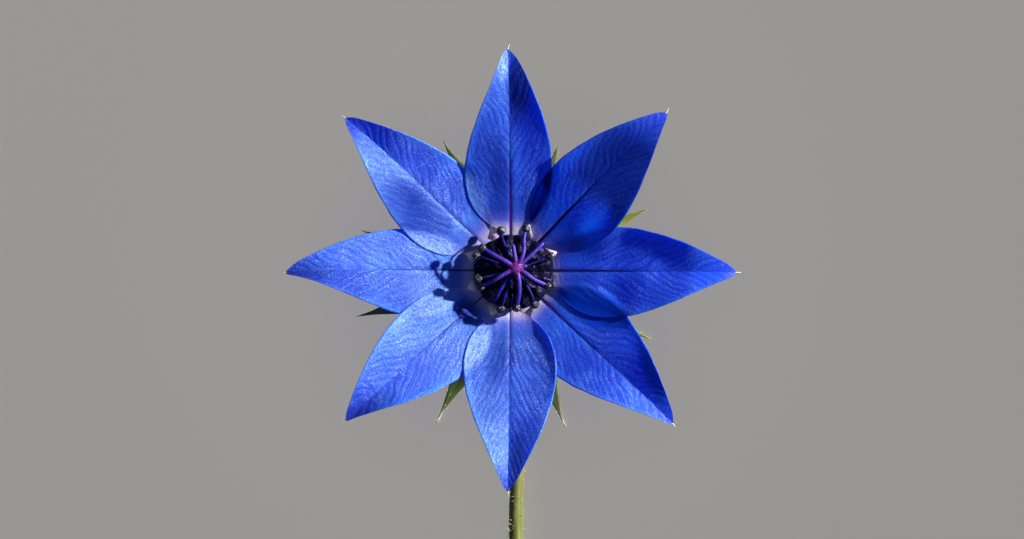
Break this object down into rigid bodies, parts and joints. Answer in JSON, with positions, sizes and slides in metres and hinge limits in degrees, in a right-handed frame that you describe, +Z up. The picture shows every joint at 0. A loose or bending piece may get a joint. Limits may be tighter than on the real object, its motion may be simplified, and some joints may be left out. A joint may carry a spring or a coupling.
{
  "type": "borage flower",
  "caption": "Picked borage flower lying face up: star of pointed blue petals, black ribbed disc, violet stamens, green sepals behind, bent cut stem.",
  "frame": {"origin": "centre of the underside of the whole flower's box, on the surface that the flower lies on", "axes": "+Z up, the way the flower faces; +Y from the cut end of the stem towards the far petal tip"},
  "size_m": [0.0304, 0.0358, 0.0091],
  "materials": {
    "petal_blue": "satin",
    "leaf_green": "matte",
    "disc_black": "gloss",
    "stamen_violet": "satin"
  },
  "bodies": {
    "root": {"corolla": "petal_blue", "calyx_and_stem": "leaf_green", "disc": "disc_black", "stamens": "stamen_violet"}
  },
  "joints": []
}
